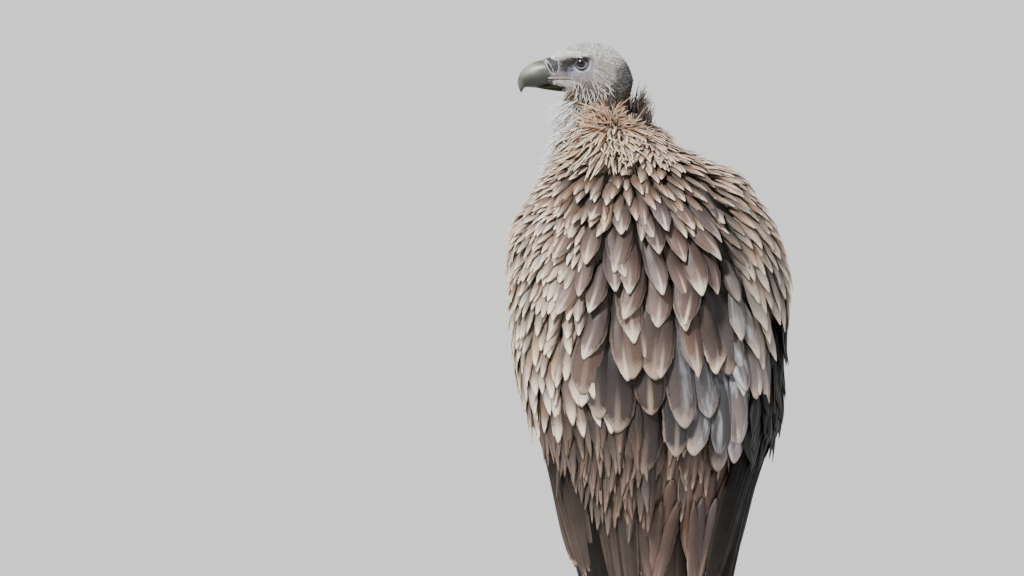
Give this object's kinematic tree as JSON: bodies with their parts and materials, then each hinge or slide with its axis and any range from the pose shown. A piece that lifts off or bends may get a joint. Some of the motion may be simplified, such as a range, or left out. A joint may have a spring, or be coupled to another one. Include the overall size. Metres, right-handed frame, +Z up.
{
  "type": "griffon vulture",
  "caption": "Life-size griffon vulture standing upright with folded wings, its head turned over its left side, with a long feather ruff and a deep hooked bill.",
  "frame": {"origin": "floor level under the middle of the bird's bounding box", "axes": "+Z up along the standing bird, -Y the way its breast faces, +X towards its left wing"},
  "size_m": [0.4086, 0.3344, 0.8704],
  "materials": {
    "down": "short matt down over bare grey skin",
    "ruff": "long matt lanceolate feathers",
    "breast": "matt body feathers",
    "covert": "matt feathers with paler edges",
    "flight": "smooth dark flight feathers with a faint sheen",
    "cere": "bare waxy skin",
    "horn": "smooth horn",
    "scute": "scaly skin",
    "claw": "worn horn",
    "eye": "wet gloss"
  },
  "bodies": {
    "root": {"cere": "cere", "claw_left_hind": "claw", "claw_left_inner": "claw", "claw_left_middle": "claw", "claw_left_outer": "claw", "claw_right_hind": "claw", "claw_right_inner": "claw", "claw_right_middle": "claw", "claw_right_outer": "claw", "eye_left": "eye", "eye_right": "eye", "head": "down", "lower_bill": "horn", "neck": "down", "ruff": "ruff", "shank_left": "scute", "shank_right": "scute", "tail": "flight", "thigh_left": "breast", "thigh_right": "breast", "toe_left_hind": "scute", "toe_left_inner": "scute", "toe_left_middle": "scute", "toe_left_outer": "scute", "toe_right_hind": "scute", "toe_right_inner": "scute", "toe_right_middle": "scute", "toe_right_outer": "scute", "trunk": "breast", "upper_bill": "horn", "wing_left_coverts": "covert", "wing_left_primaries": "flight", "wing_left_secondaries": "covert", "wing_right_coverts": "covert", "wing_right_primaries": "flight", "wing_right_secondaries": "covert"}
  },
  "joints": []
}
